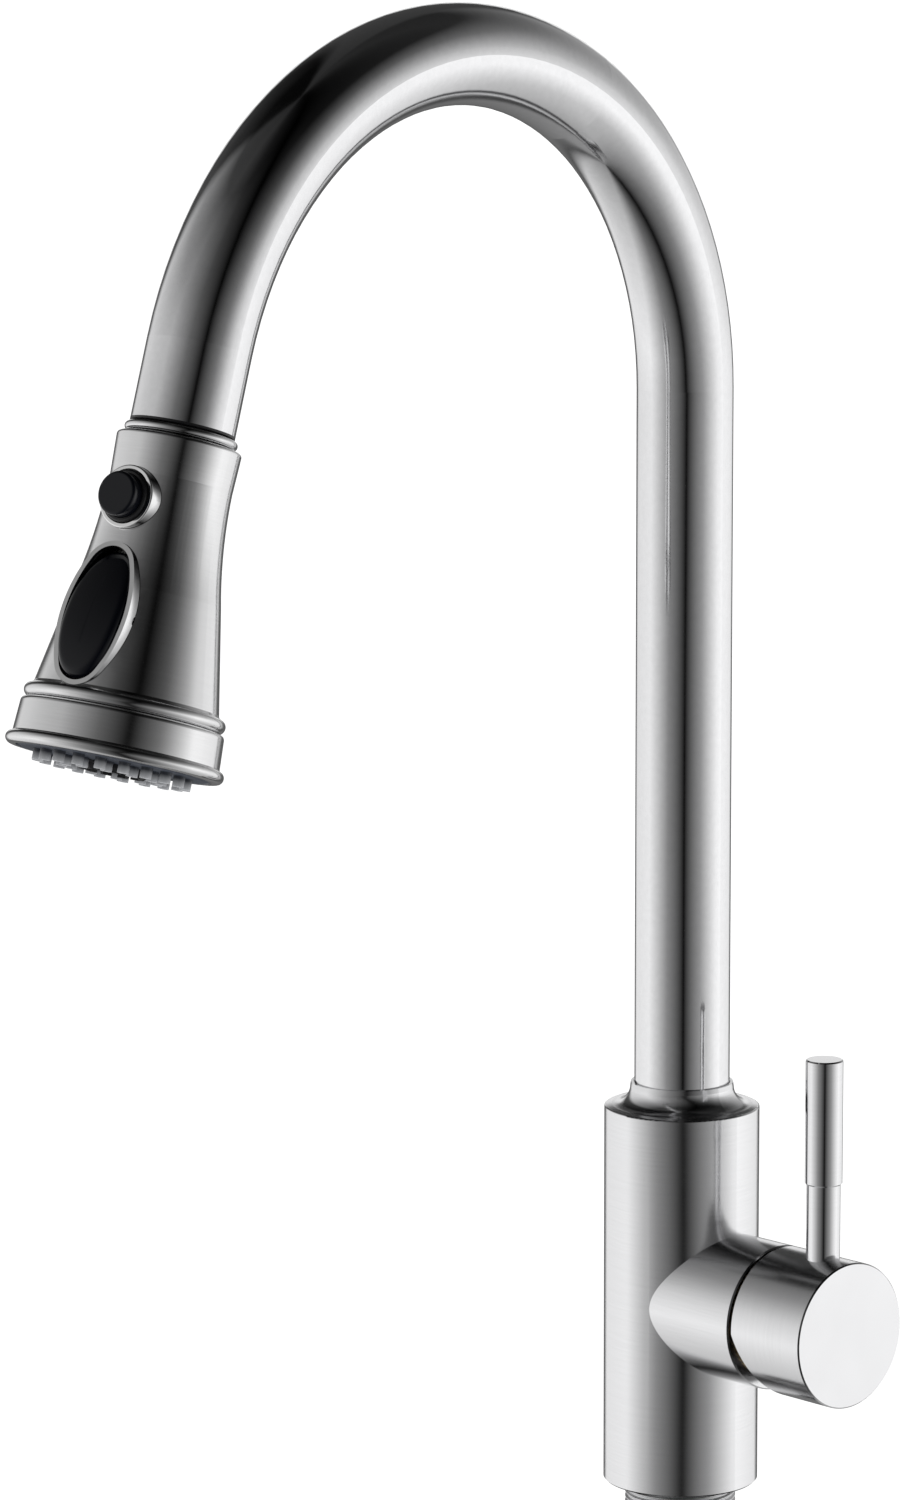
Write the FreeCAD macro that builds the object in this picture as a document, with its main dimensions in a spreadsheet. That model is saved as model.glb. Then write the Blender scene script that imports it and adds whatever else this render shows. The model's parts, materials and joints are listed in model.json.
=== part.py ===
import FreeCAD, Part
import math
import os
import re
import Sketcher
from FreeCAD import Placement, Rotation, Vector

# Single-lever kitchen mixer with a gooseneck spout and a pull-down spray head, in millimetres.
# Origin: centre of the base's underside, on the worktop. +Z up, +X along the cartridge and handle
# axis, the spout mostly towards -Y.

# ---------------------------------------------------------------- driving sizes

SIZES = {
    # column, the lower body that stands on the worktop
    "column_radius": 22.8,
    "shoulder_height": 113.0,
    "shoulder_round": 0.5,
    "flare_foot": 20.6,
    "flare_radius": 5.4,
    "collar_radius": 15.0,
    "collar_height": 120.0,
    "chamber_radius": 20.3,
    "chamber_top": 100.0,
    "bush_bore": 15.05,
    "bush_top": 112.0,
    "neck_bore": 12.95,
    "socket_floor": 116.9,
    "socket_radius": 14.15,
    # side housing for the cartridge, with its axis along +X
    "cartridge_height": 56.2,
    "stub_radius": 21.25,
    "stub_end": 40.4,
    "stub_bore": 18.1,
    "rim_chamfer": 0.4,
    "chamber_floor": 7.0,
    # shank and the hardware under the worktop
    "shank_radius": 16.5,
    "shank_bore": 14.3,
    "shank_bottom": -50.0,
    "flange_radius": 20.2,
    "flange_low": 2.0,
    "flange_high": 9.0,
    "deck_gap": 25.0,
    "washer_radius": 27.5,
    "rubber_height": 3.0,
    "steel_height": 2.0,
    "nut_low": -44.0,
    "nut_height": 10.0,
    "nut_corner": 29.0,
    "jack_circle": 21.3,
    "jack_radius": 2.45,
    "jack_head": 4.1,
    "jack_low": -53.0,
    "jack_head_height": 4.0,
    # waterway block inside the column, with three threaded ports underneath
    "block_radius": 20.15,
    "block_low": 20.0,
    "block_step": 37.6,
    "block_top": 76.3,
    "block_back": -4.2,
    "skirt_bore": 16.4,
    "port_radius": 4.5,
    "port_depth": 12.0,
    "inlet_along": 2.4,
    "inlet_across": 9.2,
    "outlet_along": 9.0,
    "duct_radius": 2.2,
    "branch_radius": 1.9,
    "duct_along": 3.0,
    "seat_across": 7.8,
    "seat_below": 5.0,
    "seat_above": 7.8,
    "seat_radius": 2.6,
    # ceramic cartridge, heights along its own axis from the column's axis
    "housing_radius": 17.4,
    "housing_bore": 15.25,
    "housing_low": 7.6,
    "housing_floor": 10.0,
    "housing_top": 34.0,
    "disc_fixed_top": 13.0,
    "disc_moving_low": 13.05,
    "disc_moving_top": 17.0,
    "disc_radius": 11.5,
    "disc_drop": 1.5,
    "carrier_top": 20.0,
    "guide_radius": 14.9,
    "guide_low": 20.3,
    "guide_top": 30.6,
    "guide_neck": 9.2,
    "guide_end": 35.6,
    "pivot_along": 27.0,
    "pivot_pin_radius": 1.5,
    "stem_width": 8.0,
    "stem_low": 23.5,
    "stem_end": 52.0,
    "ball_radius": 1.7,
    "ball_along": 18.8,
    "arm_radius": 1.2,
    "lid_low": 30.9,
    "nut_base": 34.1,
    "nut_thread": 18.0,
    "nut_rib": 17.0,
    "nut_end": 44.0,
    # handle: a short cylinder facing the side housing, and a vertical lever
    "cap_low": 41.5,
    "cap_end": 68.8,
    "cap_bore": 19.1,
    "cap_front": 66.2,
    "cap_bevel": 22.0,
    "adapter_radius": 8.1,
    "adapter_low": 45.0,
    "socket_width": 8.1,
    "socket_end": 55.0,
    "lever_along": 57.8,
    "screw_along": 49.5,
    "screw_radius": 2.45,
    "rod_radius": 4.9,
    "rod_low": 8.7,
    "rod_stud": 3.9,
    "grip_low": 42.8,
    "grip_high": 79.3,
    "grip_radius": 5.4,
    "grip_stud": 2.9,
    # gooseneck spout: a vertical neck, two arcs and a short straight end, all in one plane
    "spout_turn": 6.2,
    "tube_radius": 14.0,
    "tube_bore": 12.8,
    "tube_low": 117.5,
    "arc_start": 323.9,
    "rear_radius": 97.8,
    "rear_sweep": 61.7,
    "front_radius": 105.2,
    "front_sweep": 100.7,
    "straight_end": 21.4,
    "spigot_radius": 12.75,
    "spigot_bore": 11.6,
    "spigot_low": 95.0,
    "spigot_high": 137.0,
    "clip_groove": 12.15,
    "clip_radius": 14.2,
    # hose
    "hose_radius": 6.0,
    "hose_offset": 7.6,
    "hose_bend": 59.93,
    "hose_bottom": -58.0,
    "hose_mid": 97.0,
    "hose_low_bend": 76.0,
    "hose_high_bend": 118.0,
    "ferrule_radius": 7.2,
    # spray head, heights along its own axis from the end of the spout tube
    "head_roll": 7.5,
    "neck_ring_low": 1.05,
    "head_top": 3.95,
    "head_top_radius": 16.6,
    "waist_radius": 16.2,
    "waist": 15.0,
    "skirt_radius": 19.4,
    "skirt": 45.0,
    "skirt_bend": 142.0,
    "shell_wall": 1.8,
    "bell_radius": 24.5,
    "bell": 72.4,
    "bead_round": 1.95,
    "shell_end": 76.9,
    "ring_low": 77.05,
    "ring_end": 89.84,
    "lip_round": 1.75,
    "face_radius": 25.9,
    "nozzle_end": 92.9,
    "nozzle_radius": 1.55,
    "outer_nozzles": 20,
    "outer_circle": 19.7,
    "inner_nozzles": 12,
    "inner_circle": 13.2,
    "aerator_radius": 9.5,
    "core_radius": 13.2,
    "core_bore": 5.0,
    # pause button, heights outward from the head's axis
    "button_along": 22.2,
    "button_bezel": 8.35,
    "button_rim": 18.3,
    "button_radius": 5.85,
    "button_low": 15.8,
    "button_high": 22.8,
    # spray-mode rocker, on a rim plane that leans with the head's flank
    "rocker_along": 53.6,
    "rocker_rim": 21.4,
    "rocker_lean": 9.7,
    "rocker_tip": 6.0,
    "rocker_pivot": 3.6,
    "oval_long": 18.5,
    "oval_wide": 9.4,
    "oval_end": 6.6,
    "oval_wall": 1.3,
    "oval_play": 0.4,
    "rocker_rise": 1.9,
    "rocker_crown": 62.0,
    "pin_radius": 1.2,
    # diverter, a small barrel across the head that the rocker's tongue turns
    "barrel_radius": 2.6,
    "barrel_half": 4.5,
    "barrel_neck": 1.3,
    "barrel_front": 9.2,
    "barrel_along": 56.1,
}

doc = FreeCAD.newDocument("pull_down_faucet")
sheet = doc.addObject("Spreadsheet::Sheet", "Dims")
for row, (alias, value) in enumerate(SIZES.items(), 1):
    sheet.set(f"A{row}", alias)
    sheet.set(f"B{row}", str(value))
    sheet.setAlias(f"B{row}", alias)
doc.recompute()


def cells(text):
    """An expression with every size's name pointing at its cell."""
    return re.sub(r"[a-z]+_[a-z_]+|skirt|waist|bell", lambda m: "Dims." + m.group(0), str(text))


def size(text):
    """The value of an expression of sizes."""
    return float(sheet.evalExpression(cells(text)))


def spot(x, y, z):
    """A point whose coordinates are expressions of sizes."""
    return Vector(size(x), size(y), size(z))


# ---------------------------------------------------------------- frames

X, Y, Z = Vector(1, 0, 0), Vector(0, 1, 0), Vector(0, 0, 1)
SWEEP = "(rear_sweep + front_sweep)"
REAR_END = (
    "rear_radius * cos(rear_sweep) - rear_radius",
    "arc_start + rear_radius * sin(rear_sweep)",
)
FRONT_END = (
    f"{REAR_END[0]} + front_radius * (cos{SWEEP} - cos(rear_sweep))",
    f"{REAR_END[1]} + front_radius * (sin{SWEEP} - sin(rear_sweep))",
)
TUBE_END = (
    f"{FRONT_END[0]} - straight_end * sin{SWEEP}",
    f"{FRONT_END[1]} + straight_end * cos{SWEEP}",
)

BASE = Placement()
# local z runs along +X, local x points down
CARTRIDGE = Placement(spot(0, 0, "cartridge_height"), Rotation(Y, 90))
LEVER = Placement(spot("lever_along", 0, "cartridge_height"), Rotation())
SPOUT = Placement(Vector(), Rotation(Z, size("spout_turn")))
# local z runs out of the tube's end, local y is the front of the head
TIP = SPOUT * Placement(spot(0, *TUBE_END), Rotation(X, size(SWEEP)))
HEAD = TIP * Placement(Vector(), Rotation(Z, -size("head_roll")))
# local z points straight out of the head's front
BUTTON = HEAD * Placement(spot(0, 0, "button_along"), Rotation(X, -90))
ROCKER = HEAD * Placement(
    spot(0, "rocker_rim", "rocker_along"), Rotation(X, -90 - size("rocker_lean"))
)
PIVOT = ROCKER * Placement(spot(0, 0, "-rocker_pivot"), Rotation())
TIPPED = PIVOT * Placement(Vector(), Rotation(X, -size("rocker_tip")))

# ---------------------------------------------------------------- ways of making a shape

count = 0
parts = {}


def fresh(kind, note):
    """A new document object with a name of its own."""
    global count
    count += 1
    return doc.addObject(kind, f"{note}_{count}")


def keep(label, frame, shape):
    """Name an object as a sub-part and put it in its frame."""
    shape.Label = label
    shape.Placement = frame
    parts[label] = shape
    return shape


def bind(thing, **properties):
    """Bind properties of an object to expressions of sizes."""
    for name, text in properties.items():
        thing.setExpression(name, cells(text))
    return thing


def arc_between(start, end, radius, bulge):
    """A circular arc and which of its ends is the start."""
    chord = end - start
    left = Vector(-chord.y, chord.x, 0).normalize()
    towards = left if bulge == "left" else left * -1
    rise = math.sqrt(max(radius**2 - (chord.Length / 2) ** 2, 0))
    centre = (start + end) * 0.5 - towards * rise
    angles = [math.atan2(p.y - centre.y, p.x - centre.x) for p in (start, end)]
    circle = Part.Circle(centre, Z, radius)
    if bulge == "left":
        return Part.ArcOfCircle(circle, angles[1], angles[0]), (2, 1)
    return Part.ArcOfCircle(circle, angles[0], angles[1]), (1, 2)


def draw(sketch, outline, closed):
    """Draw an outline whose corners are expressions; a corner reached by an arc adds a radius."""
    corners = [Vector(size(c[0]), size(c[1]), 0) for c in outline]
    spans = len(corners) if closed else len(corners) - 1
    ends = []
    for i in range(spans):
        follow = (i + 1) % len(corners)
        start, end, corner = corners[i], corners[follow], outline[follow]
        if len(corner) == 2:
            edge = sketch.addGeometry(Part.LineSegment(start, end))
            ends.append((edge, 1, 2))
            continue
        arc, order = arc_between(start, end, size(corner[2]), corner[3])
        edge = sketch.addGeometry(arc)
        ends.append((edge, *order))
        row = sketch.addConstraint(Sketcher.Constraint("Radius", edge, size(corner[2])))
        sketch.setExpression(f"Constraints[{row}]", cells(corner[2]))
    for i in range(spans):
        here, after = ends[i], ends[(i + 1) % spans]
        if closed or i + 1 < spans:
            sketch.addConstraint(Sketcher.Constraint("Coincident", here[0], here[2], after[0], after[1]))
    for i, corner in enumerate(outline):
        edge, where = (ends[i][0], ends[i][1]) if i < spans else (ends[-1][0], ends[-1][2])
        for kind, text, value in (
            ("DistanceX", corner[0], corners[i].x),
            ("DistanceY", corner[1], corners[i].y),
        ):
            row = sketch.addConstraint(Sketcher.Constraint(kind, -1, 1, edge, where, value))
            sketch.setExpression(f"Constraints[{row}]", cells(text))


def sketch_on(body, plane, note):
    """A sketch on one of a body's own origin planes."""
    sketch = body.newObject("Sketcher::SketchObject", f"{body.Name}_{note}")
    support = next(f for f in body.Origin.OriginFeatures if f.Role == plane)
    sketch.AttachmentSupport = [(support, "")]
    sketch.MapMode = "FlatFace"
    return sketch


def turned(outline, note="turned"):
    """A solid of revolution about the local z axis; corners are (radius, height)."""
    body = fresh("PartDesign::Body", note)
    sketch = sketch_on(body, "XZ_Plane", "outline")
    draw(sketch, outline, closed=True)
    solid = body.newObject("PartDesign::Revolution", f"{body.Name}_revolution")
    solid.Profile = sketch
    solid.ReferenceAxis = (sketch, ["V_Axis"])
    solid.Angle = 360
    return body


def ring(inner, outer, low, high):
    """A plain ring, or a disc where inner is 0."""
    return turned([(inner, low), (outer, low), (outer, high), (inner, high)], "ring")


def piped(plane, path, start, radii, note):
    """A tube or rod swept along a path; the section is a circle, or two for a tube."""
    body = fresh("PartDesign::Body", note)
    route = sketch_on(body, plane, "path")
    draw(route, path, closed=False)
    section = sketch_on(body, "XY_Plane", "section")
    section.AttachmentOffset = Placement(spot(*start), Rotation())
    for radius in radii:
        edge = section.addGeometry(Part.Circle(Vector(), Z, size(radius)))
        section.addConstraint(Sketcher.Constraint("Coincident", edge, 3, -1, 1))
        row = section.addConstraint(Sketcher.Constraint("Radius", edge, size(radius)))
        section.setExpression(f"Constraints[{row}]", cells(radius))
    pipe = body.newObject("PartDesign::AdditivePipe", f"{body.Name}_pipe")
    pipe.Profile = section
    pipe.Spine = (route, [])
    return body


def rod(radius, length, at, along=Z):
    """A cylinder from a point along a direction."""
    shape = bind(fresh("Part::Cylinder", "rod"), Radius=radius, Height=length)
    shape.Placement = Placement(spot(*at), Rotation(Z, along))
    return shape


def block(sizes, corner, turn=None):
    """A box from its lowest corner."""
    shape = bind(fresh("Part::Box", "block"), Length=sizes[0], Width=sizes[1], Height=sizes[2])
    shape.Placement = Placement(spot(*corner), turn or Rotation())
    return shape


def oval(long_half, wide_half, low, high):
    """An oval prism along z, long along y, drawn with two end arcs and two side arcs."""
    a, b = f"({long_half})", f"({wide_half})"
    end = f"(oval_end + {b} - oval_wide)"
    side = f"(({a} * {a} - 2 * {a} * {end} + {b} * {b}) / (2 * ({b} - {end})))"
    x = f"({end} * ({side} - {b}) / ({side} - {end}))"
    y = f"(({a} - {end}) * (1 + {end} / ({side} - {end})))"
    rim = fresh("Sketcher::SketchObject", "rim")
    corners = [
        (x, f"-{y}", end, "right"),
        (x, y, side, "right"),
        (f"-{x}", y, end, "right"),
        (f"-{x}", f"-{y}", side, "right"),
    ]
    draw(rim, corners, closed=True)
    rim.Placement = Placement(spot(0, 0, low), Rotation())
    prism = bind(fresh("Part::Extrusion", "oval"), LengthFwd=f"{high} - ({low})")
    prism.Base = rim
    prism.DirMode = "Custom"
    prism.Dir = Z
    prism.Solid = True
    return prism


def joined(*shapes):
    """The union of some objects; pieces that don't touch stay separate solids."""
    if len(shapes) == 1:
        return shapes[0]
    union = fresh("Part::MultiFuse", "union")
    union.Shapes = list(shapes)
    return union


def cut(base, *tools):
    """An object less some others."""
    difference = fresh("Part::Cut", "difference")
    difference.Base = base
    difference.Tool = joined(*tools)
    return difference


def shared(base, tool):
    """What two objects have in common."""
    common = fresh("Part::Common", "common")
    common.Base = base
    common.Tool = tool
    return common


def around(number, radius, phase=0.0):
    """Evenly spaced points on a circle, as pairs of numbers."""
    steps = int(size(number))
    angles = [math.radians(phase + 360 * i / steps) for i in range(steps)]
    return [(size(radius) * math.cos(a), size(radius) * math.sin(a)) for a in angles]


# ---------------------------------------------------------------- column and under-deck hardware


def make_column():
    outer = turned(
        [
            (0, 0),
            ("column_radius - shoulder_round", 0),
            ("column_radius", "shoulder_round"),
            ("column_radius", "shoulder_height - shoulder_round"),
            ("column_radius - shoulder_round", "shoulder_height", "shoulder_round", "right"),
            ("flare_foot", "shoulder_height + 0.3"),
            ("flare_foot - flare_radius", "shoulder_height + 0.3 + flare_radius", "flare_radius", "left"),
            ("collar_radius", "collar_height"),
            (0, "collar_height"),
        ],
        "column",
    )
    stub = turned(
        [
            (0, "chamber_floor"),
            ("stub_radius", "chamber_floor"),
            ("stub_radius", "stub_end - rim_chamfer"),
            ("stub_radius - rim_chamfer", "stub_end"),
            (0, "stub_end"),
        ],
        "stub",
    )
    stub.Placement = CARTRIDGE
    chamber = turned(
        [
            (0, -1),
            ("chamber_radius", -1),
            ("chamber_radius", "chamber_top"),
            ("bush_bore", "chamber_top"),
            ("bush_bore", "bush_top"),
            ("neck_bore", "bush_top"),
            ("neck_bore", "socket_floor"),
            ("socket_radius", "socket_floor"),
            ("socket_radius", "collar_height + 1"),
            (0, "collar_height + 1"),
        ],
        "chamber",
    )
    bore = rod("stub_bore", "stub_end", ("chamber_floor", 0, "cartridge_height"), X)
    keep("faucet_body", BASE, cut(joined(outer, stub), chamber, bore))


def make_deck_hardware():
    keep("base_gasket", BASE, ring("shank_radius + 0.2", "flange_radius - 0.1", 0, "flange_low"))
    shank = [
        ("shank_bore", "shank_bottom"),
        ("shank_radius - 0.8", "shank_bottom"),
        ("shank_radius", "shank_bottom + 0.8"),
        ("shank_radius", "flange_high"),
        ("shank_bore", "flange_high"),
    ]
    keep("threaded_shank", BASE, turned(shank, "shank"))
    plate = ring("shank_radius + 0.05", "flange_radius", "flange_low", "flange_high")
    keep("base_plate", BASE, plate)
    steel_top = "-deck_gap - rubber_height"
    hole = "shank_radius + 0.3"
    keep("deck_rubber_washer", BASE, ring(hole, "washer_radius", steel_top, "-deck_gap"))
    keep(
        "deck_steel_washer",
        BASE,
        ring(hole, "washer_radius", f"{steel_top} - steel_height", steel_top),
    )
    hexagon = bind(
        fresh("Part::Prism", "hexagon"), Circumradius="nut_corner", Height="nut_height"
    )
    hexagon.Polygon = 6
    hexagon.Placement = Placement(spot(0, 0, "nut_low"), Rotation())
    screw_spots = around(3, "jack_circle", 30)
    holes = [rod("jack_radius + 0.1", "nut_height + 2", (x, y, "nut_low - 1")) for x, y in screw_spots]
    bore = rod("shank_radius + 0.05", "nut_height + 2", (0, 0, "nut_low - 1"))
    keep("mounting_nut", BASE, cut(hexagon, bore, *holes))
    length = f"{steel_top} - steel_height - jack_low"
    shafts = [rod("jack_radius", length, (x, y, "jack_low")) for x, y in screw_spots]
    heads = [rod("jack_head", "jack_head_height", (x, y, "jack_low")) for x, y in screw_spots]
    keys = [rod("jack_radius - 0.6", 2, (x, y, "jack_low - 0.1")) for x, y in screw_spots]
    keep("jack_screws", BASE, cut(joined(*shafts, *heads), *keys))


def make_waterway():
    drum = rod("block_radius", "block_top - flange_high - 0.1", (0, 0, "flange_high + 0.1"))
    inlets = [("inlet_along", y) for y in ("inlet_across", "-inlet_across")]
    ports = [rod("port_radius", "port_depth", (x, y, "block_low")) for x, y in inlets]
    ports.append(rod("port_radius", "port_depth", ("outlet_along", 0, "block_low")))
    roof = "block_low + port_depth"
    low_seat, high_seat = "cartridge_height - seat_below", "cartridge_height + seat_above"
    riser_foot = f"{roof} - 0.5"
    riser_high = f"{low_seat} + duct_radius + 0.5 - ({riser_foot})"
    risers = [rod("duct_radius", riser_high, (x, y, riser_foot)) for x, y in inlets]
    for side in (1, -1):
        at = ("inlet_along", f"{side} * seat_across", low_seat)
        risers.append(rod("branch_radius", "chamber_floor", at, X))
    across = f"{roof} + duct_radius"
    risers.append(rod("duct_radius", "2 * duct_radius + 0.6", ("outlet_along", 0, riser_foot)))
    risers.append(rod("branch_radius", "outlet_along - duct_along", ("duct_along", 0, across), X))
    back_riser = f"{high_seat} + 2 * duct_radius + 0.5 - ({across})"
    risers.append(rod("duct_radius", back_riser, ("duct_along", 0, f"{across} - duct_radius")))
    risers.append(rod("branch_radius", "chamber_floor", ("duct_along", 0, high_seat), X))
    clear = [
        rod("skirt_bore", "block_low - flange_high", (0, 0, "flange_high")),
        block((30, 60, 60), ("block_back - 30", -30, "block_low")),
        block((30, 60, 60), ("chamber_floor", -30, "block_step")),
        rod("hose_radius + 1", 70, ("-hose_offset", 0, "flange_high")),
    ]
    keep("waterway_block", BASE, cut(drum, *ports, *risers, *clear))


# ---------------------------------------------------------------- cartridge


def seat_spots():
    """The three water passages, in the cartridge's frame."""
    return [
        ("seat_below", "seat_across"),
        ("seat_below", "-seat_across"),
        ("-seat_above", 0),
    ]


def make_cartridge():
    cup = turned(
        [
            (0, "housing_low"),
            ("housing_radius", "housing_low"),
            ("housing_radius", "housing_top"),
            ("housing_bore", "housing_top"),
            ("housing_bore", "housing_floor"),
            (0, "housing_floor"),
        ],
        "housing",
    )
    holes = [rod("seat_radius", 5, (x, y, "housing_low - 1")) for x, y in seat_spots()]
    keep("cartridge_housing", CARTRIDGE, cut(cup, *holes))
    seals = []
    for x, y in seat_spots():
        seal = bind(
            fresh("Part::Torus", "seal"),
            Radius1="seat_radius + 1",
            Radius2="(housing_low - chamber_floor) / 2",
        )
        seal.Placement = Placement(spot(x, y, "(housing_low + chamber_floor) / 2"), Rotation())
        seals.append(seal)
    keep("cartridge_seals", CARTRIDGE, joined(*seals))
    fixed = rod("housing_bore - 0.15", "disc_fixed_top - housing_floor", (0, 0, "housing_floor"))
    holes = [rod("seat_radius", 5, (x, y, "housing_floor - 1")) for x, y in seat_spots()]
    keep("ceramic_disc_fixed", CARTRIDGE, cut(fixed, *holes))
    moving = rod("disc_radius", "disc_moving_top - disc_moving_low", ("disc_drop", 0, "disc_moving_low"))
    recess = rod("disc_radius / 2", 2, ("disc_drop - 3", 0, "disc_moving_low - 0.1"))
    keep("ceramic_disc_moving", CARTRIDGE, cut(moving, recess))
    plate = rod("disc_radius", "carrier_top - disc_moving_top", ("disc_drop", 0, "disc_moving_top"))
    eye = rod("ball_radius + 0.1", 5, (0, 0, "disc_moving_top - 1"))
    keep("disc_carrier", CARTRIDGE, cut(plate, eye))
    guide = turned(
        [
            (0, "guide_low"),
            ("guide_radius", "guide_low"),
            ("guide_radius", "guide_top"),
            ("guide_neck", "guide_top"),
            ("guide_neck", "guide_end"),
            (0, "guide_end"),
        ],
        "guide",
    )
    slot = block((16, "stem_width + 0.4", 20), (-8, "-stem_width / 2 - 0.2", "guide_low - 1"))
    pin_hole = rod("pivot_pin_radius + 0.05", 32, (0, -16, "pivot_along"), Y)
    keep("cartridge_guide", CARTRIDGE, cut(guide, slot, pin_hole))
    across = CARTRIDGE * Placement(spot(0, -12, "pivot_along"), Rotation(Z, Y))
    keep("pivot_pin", across, rod("pivot_pin_radius", 24, (0, 0, 0)))
    keep("cartridge_lid", CARTRIDGE, ring("guide_neck + 0.2", "housing_bore - 0.15", "lid_low", "housing_top"))
    nut = [
        (12, "nut_base"),
        ("nut_thread", "nut_base"),
        ("nut_thread", "stub_end - 0.1"),
        ("nut_rib", "stub_end - 0.1"),
        ("nut_rib", "nut_end"),
        ("nut_rib - 2", "nut_end"),
        ("nut_rib - 2", 38),
        (12, 38),
    ]
    keep("retaining_nut", CARTRIDGE, turned(nut, "nut"))


# ---------------------------------------------------------------- handle


def make_handle():
    ball = bind(fresh("Part::Sphere", "ball"), Radius="ball_radius")
    ball.Placement = Placement(spot(0, 0, "ball_along"), Rotation())
    arm = rod("arm_radius", "stem_low - ball_along + 1", (0, 0, "ball_along"))
    half = "stem_width / 2"
    shaft = block(("stem_width", "stem_width", "stem_end - stem_low"), (f"-{half}", f"-{half}", "stem_low"))
    eye = rod("pivot_pin_radius + 0.06", 20, (0, -10, "pivot_along"), Y)
    keep("cartridge_stem", CARTRIDGE, cut(joined(ball, arm, shaft), eye))
    shell = turned(
        [
            ("cap_bore", "cap_low"),
            ("stub_radius - rim_chamfer", "cap_low"),
            ("stub_radius", "cap_low + rim_chamfer"),
            ("stub_radius", "cap_end - rim_chamfer"),
            ("stub_radius - rim_chamfer", "cap_end"),
            (0, "cap_end"),
            (0, "cap_front"),
            ("cap_bore", "cap_front"),
        ],
        "cap",
    )
    bevel = block((60, 60, 30), (0, -30, "cap_low"))
    tilt = Placement(spot(0, 0, "cap_low"), Rotation(Y, -size("cap_bevel")))
    bevel.Placement = tilt * Placement(Vector(0, -30, -30), Rotation())
    lever_hole = rod("rod_radius + 0.05", 15, (-12, 0, "lever_along"), X * -1)
    screw_hole = rod("screw_radius + 0.25", 12, (0, 14, "screw_along"), Y)
    keep("handle_cap", CARTRIDGE, cut(shell, bevel, lever_hole, screw_hole))
    boss = rod("adapter_radius", "cap_front - adapter_low", (0, 0, "adapter_low"))
    half = "socket_width / 2"
    socket = block(
        ("socket_width", "socket_width", "socket_end - adapter_low + 1"),
        (f"-{half}", f"-{half}", "adapter_low - 1"),
    )
    lever_socket = rod("rod_stud + 0.05", 10, (-1, 0, "lever_along"), X * -1)
    screw_thread = rod("screw_radius + 0.05", 10, (0, 2, "screw_along"), Y)
    keep("handle_adapter", CARTRIDGE, cut(boss, socket, lever_socket, screw_thread))
    screw = rod("screw_radius", 4.2, (0, 0, 0), Y)
    keep("set_screw", CARTRIDGE * Placement(spot(0, 4.1, "screw_along"), Rotation(Z, Y)), screw)
    lever = [
        (0, 1.5),
        ("rod_stud", 1.5),
        ("rod_stud", "rod_low"),
        ("rod_radius", "rod_low"),
        ("rod_radius", "grip_low"),
        ("grip_stud", "grip_low"),
        ("grip_stud", 60),
        (0, 60),
    ]
    keep("lever_rod", LEVER, turned(lever, "lever"))
    grip = [
        ("grip_stud + 0.05", "grip_low"),
        ("grip_radius - rim_chamfer", "grip_low"),
        ("grip_radius", "grip_low + rim_chamfer"),
        ("grip_radius", "grip_high - rim_chamfer"),
        ("grip_radius - rim_chamfer", "grip_high"),
        (0, "grip_high"),
        (0, 60.2),
        ("grip_stud + 0.05", 60.2),
    ]
    keep("lever_grip", LEVER, turned(grip, "grip"))


# ---------------------------------------------------------------- spout


def make_swivel():
    bush = [
        ("spigot_radius + 0.1", "chamber_top - 2"),
        ("chamber_radius - 0.8", "chamber_top - 2"),
        ("chamber_radius - 0.8", "chamber_top"),
        ("bush_bore - 0.05", "chamber_top"),
        ("bush_bore - 0.05", "bush_top"),
        ("spigot_radius + 0.1", "bush_top"),
    ]
    keep("swivel_bush", BASE, turned(bush, "bush"))
    keep("swivel_washer", BASE, ring("spigot_radius + 0.1", 18.5, "chamber_top - 3", "chamber_top - 2"))
    keep(
        "spout_slip_ring",
        BASE,
        ring("spigot_radius + 0.1", "socket_radius - 0.05", "socket_floor", "tube_low - 0.05"),
    )
    spigot = [
        ("spigot_bore", "spigot_low"),
        ("spigot_radius", "spigot_low"),
        ("spigot_radius", "chamber_top - 4"),
        ("clip_groove", "chamber_top - 4"),
        ("clip_groove", "chamber_top - 3.05"),
        ("spigot_radius", "chamber_top - 3.05"),
        ("spigot_radius", "spigot_high"),
        ("spigot_bore", "spigot_high"),
    ]
    keep("spout_spigot", SPOUT, turned(spigot, "spigot"))
    clip = ring("clip_groove + 0.05", "clip_radius", "chamber_top - 3.95", "chamber_top - 3.1")
    mouth = block((10, 4, 4), ("clip_groove - 2", -2, "chamber_top - 5"))
    keep("swivel_circlip", SPOUT, cut(clip, mouth))


def gooseneck(low):
    """The centreline from a height on the neck to where the straight end starts."""
    return [
        (0, low),
        (0, "arc_start"),
        (*REAR_END, "rear_radius", "right"),
        (*FRONT_END, "front_radius", "right"),
    ]


def make_spout():
    tube = piped(
        "YZ_Plane",
        gooseneck("tube_low") + [TUBE_END],
        (0, 0, "tube_low"),
        ("tube_radius", "tube_bore"),
        "gooseneck",
    )
    keep("spout_tube", SPOUT, tube)
    sleeve = [
        (11.6, -22),
        ("tube_bore - 0.05", -22),
        ("tube_bore - 0.05", 0),
        ("tube_radius", 0),
        ("tube_radius", 0.6),
        ("tube_radius - 0.3", 0.8),
        (12.4, 0.8),
        (11.6, -1),
    ]
    keep("docking_sleeve", TIP, turned(sleeve, "sleeve"))


# ---------------------------------------------------------------- hose


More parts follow.
